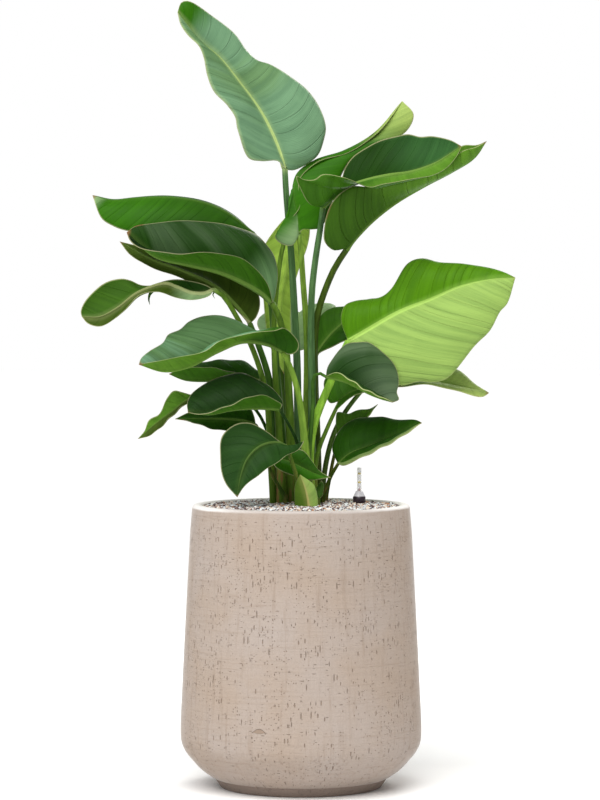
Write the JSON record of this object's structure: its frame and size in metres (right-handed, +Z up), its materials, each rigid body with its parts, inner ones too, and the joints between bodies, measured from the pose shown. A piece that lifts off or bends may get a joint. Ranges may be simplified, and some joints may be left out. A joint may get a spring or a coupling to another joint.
{
  "type": "giant bird of paradise plant in planter",
  "caption": "Potted giant bird of paradise with broad arching leaves in a tall round planter with recessed foot, gravel dressing and water gauge.",
  "frame": {"origin": "centre of the planter's flat underside", "axes": "+Z up, -Y is the plant's front, +X to the right seen from the front"},
  "size_m": [0.809, 0.6205, 1.4673],
  "materials": {
    "concrete": "matte cast, brushed and pitted",
    "liner_plastic": "moulded black",
    "soil": "moist crumbly planting mix",
    "gravel_stone": "loose mixed pumice gravel",
    "gauge_black": "moulded black",
    "gauge_clear": "clear moulded",
    "gauge_white": "foamed white",
    "gauge_red": "moulded red",
    "leaf_tissue": "leathery leaf, satin above and matte below",
    "dry_sheath": "papery old leaf sheath"
  },
  "bodies": {
    "plant": {"planter": "concrete", "liner": "liner_plastic", "substrate": "soil", "gravel": "gravel_stone", "gauge_housing": "gauge_black", "gauge_tube": "gauge_clear", "leaf_top": "leaf_tissue", "leaf_back_curl": "leaf_tissue", "leaf_cupped": "leaf_tissue", "leaf_long_right": "leaf_tissue", "leaf_large_right": "leaf_tissue", "leaf_front_right": "leaf_tissue", "leaf_pointed_right": "leaf_tissue", "leaf_inner_right": "leaf_tissue", "leaf_low_right": "leaf_tissue", "leaf_small_right": "leaf_tissue", "leaf_high_left": "leaf_tissue", "leaf_dark_left": "leaf_tissue", "leaf_narrow_left": "leaf_tissue", "leaf_twisted_left": "leaf_tissue", "leaf_broad_left": "leaf_tissue", "leaf_inner_left": "leaf_tissue", "leaf_glossy_left": "leaf_tissue", "leaf_slim_left": "leaf_tissue", "leaf_hidden_left": "leaf_tissue", "leaf_drooping": "leaf_tissue", "leaf_low_centre": "leaf_tissue", "leaf_centre": "leaf_tissue", "leaf_back_centre": "leaf_tissue", "leaf_back_right": "leaf_tissue", "leaf_back_left": "leaf_tissue", "sheath_pale": "dry_sheath", "sheath_right": "dry_sheath"},
    "float": {"gauge_float": "gauge_white", "gauge_tip": "gauge_red"}
  },
  "joints": [
    {"name": "float_rise", "type": "slide", "parent": "plant", "child": "float", "axis": [0, 0, 1], "range_m": [0, 0.03]}
  ]
}
